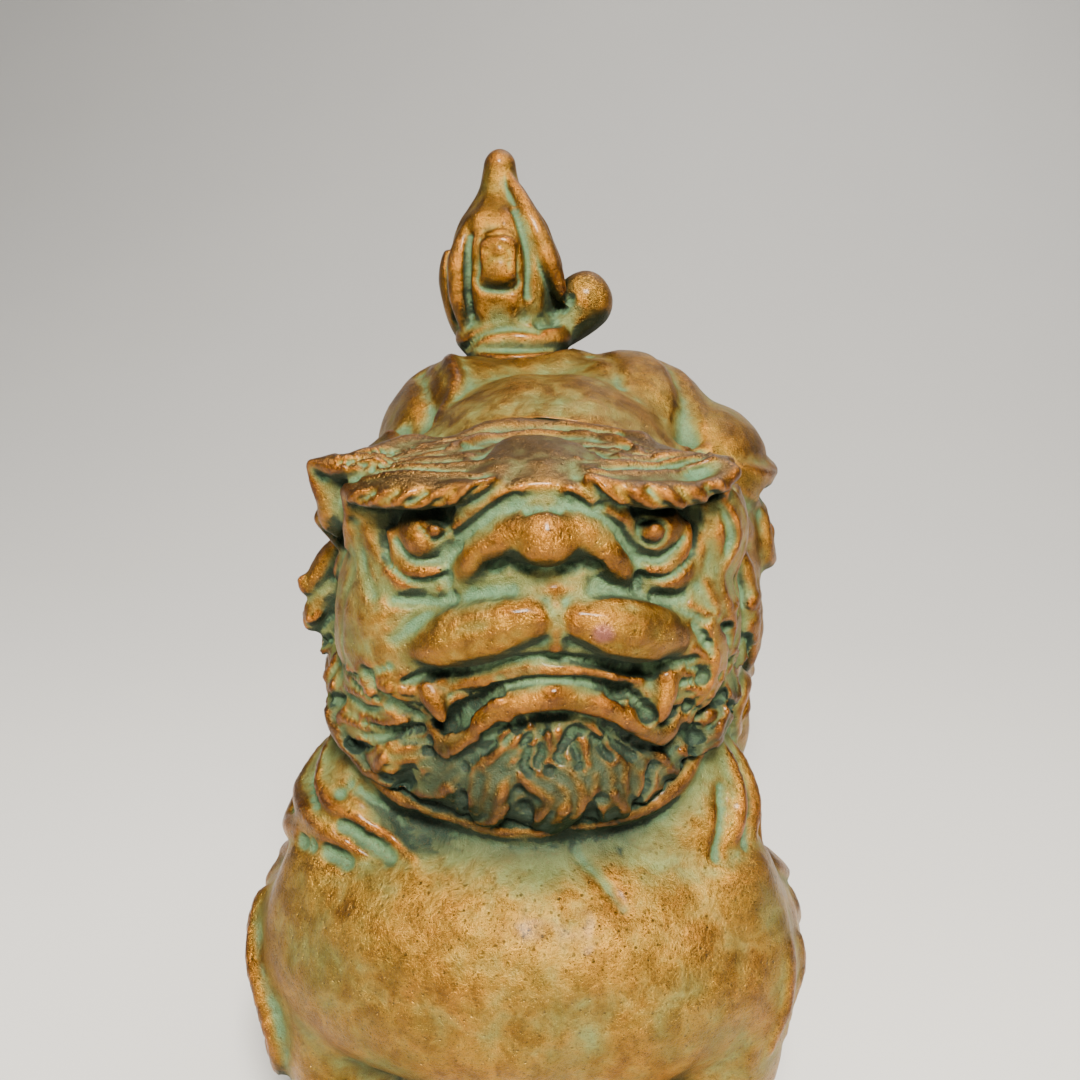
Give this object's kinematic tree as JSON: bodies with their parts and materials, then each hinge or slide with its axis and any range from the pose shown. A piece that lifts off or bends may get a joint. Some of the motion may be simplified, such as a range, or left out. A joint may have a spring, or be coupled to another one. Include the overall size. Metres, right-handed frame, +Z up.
{
  "type": "guardian lion statue",
  "caption": "Standing guardian lion figure in hollow cast bronze, with a separate head and a flame-shaped tail, on felt paw pads.",
  "frame": {"origin": "on the ground, under the middle of the figure's bounding box", "axes": "+Z up, the lion faces -Y, +X is the lion's own left side"},
  "size_m": [0.0932, 0.1451, 0.177],
  "materials": {
    "bronze": "antique gold patina with green verdigris in the hollows",
    "steel": "zinc plated",
    "felt": "matte felt"
  },
  "bodies": {
    "root": {"body_casting": "bronze", "head_casting": "bronze", "tail_casting": "bronze", "belly_plate": "bronze", "belly_screws": "steel", "head_stud": "steel", "bridge_bar": "steel", "head_washer": "steel", "head_nut": "steel", "tail_screw": "steel", "tail_washer": "steel", "paw_pads": "felt"}
  },
  "joints": []
}
